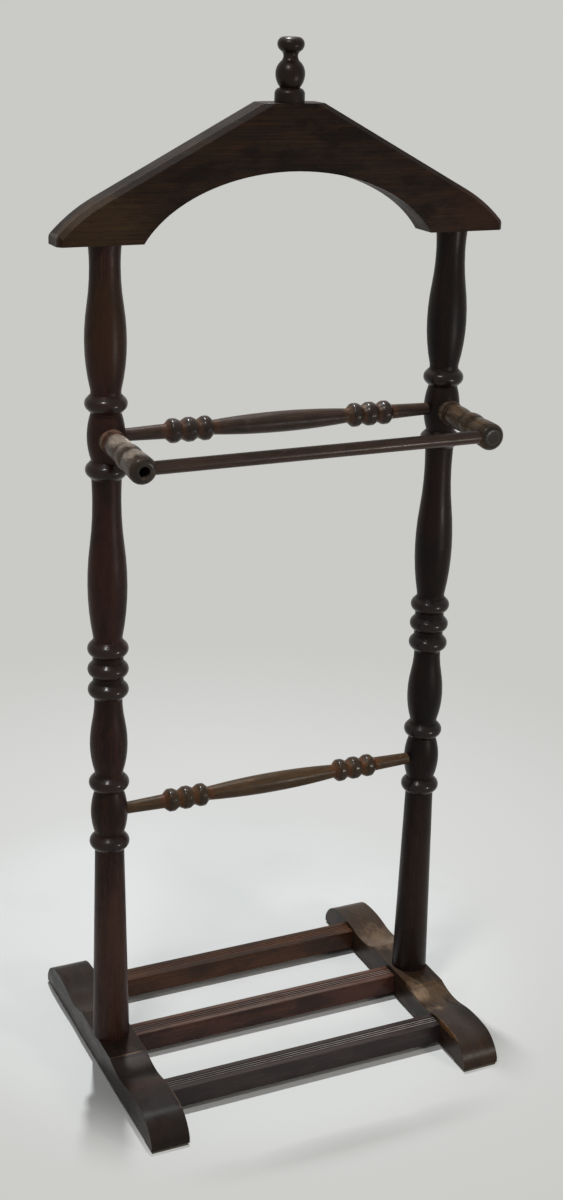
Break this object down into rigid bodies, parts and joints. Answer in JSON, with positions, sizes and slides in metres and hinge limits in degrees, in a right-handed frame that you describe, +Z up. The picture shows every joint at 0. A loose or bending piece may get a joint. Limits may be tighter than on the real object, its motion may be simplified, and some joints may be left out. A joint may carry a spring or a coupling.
{
  "type": "valet stand",
  "caption": "Free-standing wooden valet stand: shoulder-shaped hanger on turned posts, with rails, a trouser bar on two arms, and sled feet joined by reeded slats.",
  "frame": {"origin": "on the floor, midway between the two posts and midway between the front and rear ends of the feet", "axes": "+Z up from the floor, +X to the stand's right as seen from the front, +Y from the front (trouser bar) to the back"},
  "size_m": [0.462, 0.34, 1.052],
  "materials": {
    "yoke_wood": "satin lacquer over dark brown stain",
    "post_wood": "satin lacquer over dark brown stain",
    "upper_rail_wood": "satin lacquer over dark brown stain",
    "lower_rail_wood": "satin lacquer over dark brown stain, worn lighter",
    "arm_wood": "satin lacquer over dark brown stain, worn lighter on top",
    "bar_wood": "satin lacquer over dark brown stain",
    "foot_wood": "satin lacquer over dark brown stain, greyed by dust",
    "front_slat_wood": "satin lacquer over dark brown stain",
    "middle_slat_wood": "satin lacquer over dark brown stain",
    "rear_slat_wood": "satin lacquer over dark brown stain, worn lighter",
    "pad_felt": "pressed felt",
    "dowel_wood": "bare beech, fluted dowels drawn plain",
    "plug_wood": "satin lacquer over dark brown stain",
    "screw_steel": "plain steel, slightly dull"
  },
  "bodies": {
    "root": {"hanger_yoke": "yoke_wood", "finial": "post_wood", "left_post": "post_wood", "right_post": "post_wood", "upper_rail": "upper_rail_wood", "lower_rail": "lower_rail_wood", "left_arm": "arm_wood", "right_arm": "arm_wood", "trouser_bar": "bar_wood", "left_foot": "foot_wood", "right_foot": "foot_wood", "front_slat": "front_slat_wood", "middle_slat": "middle_slat_wood", "rear_slat": "rear_slat_wood", "left_front_pad": "pad_felt", "left_rear_pad": "pad_felt", "right_front_pad": "pad_felt", "right_rear_pad": "pad_felt", "slat_dowels": "dowel_wood", "arm_plug": "plug_wood", "arm_screws": "screw_steel", "foot_screws": "screw_steel", "foot_washers": "screw_steel"}
  },
  "joints": []
}
